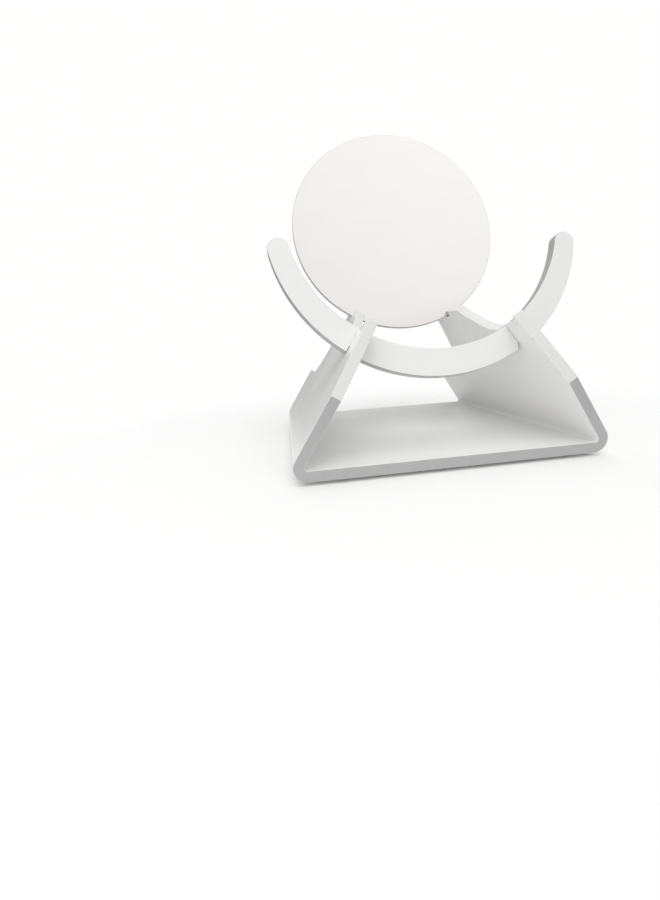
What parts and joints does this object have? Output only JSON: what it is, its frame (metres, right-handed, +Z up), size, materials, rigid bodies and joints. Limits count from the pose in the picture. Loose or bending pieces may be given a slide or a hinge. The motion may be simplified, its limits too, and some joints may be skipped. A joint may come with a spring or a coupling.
{
  "type": "countertop mirror",
  "caption": "Round tabletop mirror leaning in a folded acrylic stand, with a flat crescent plate set across the tops of the stand's walls.",
  "frame": {"origin": "on the tabletop, at the middle of the object's overall width and depth", "axes": "+Z up, +X to the right seen from the front, the mirror faces -Y and slightly up"},
  "size_m": [0.1854, 0.17, 0.2244],
  "materials": {
    "white_acrylic": "polished white acrylic sheet, folded hot",
    "white_acrylic_arc": "polished white acrylic sheet",
    "mirror_sheet": "silvered acrylic sheet, polished rim, painted white back",
    "clear_pad": "soft clear polyurethane"
  },
  "bodies": {
    "stand_body": {"stand": "white_acrylic", "foot_front_left": "clear_pad", "foot_front_right": "clear_pad", "foot_back_left": "clear_pad", "foot_back_right": "clear_pad"},
    "crescent_body": {"cradle_arc": "white_acrylic_arc"},
    "mirror_body": {"mirror_disc": "mirror_sheet"}
  },
  "joints": [
    {"name": "arc_lift", "type": "slide", "parent": "stand_body", "child": "crescent_body", "axis": [0, 0.2756, 0.9613], "range_m": [0, 0.05]},
    {"name": "mirror_lift", "type": "slide", "parent": "stand_body", "child": "mirror_body", "axis": [0, 0.2756, 0.9613], "range_m": [0, 0.04]}
  ]
}
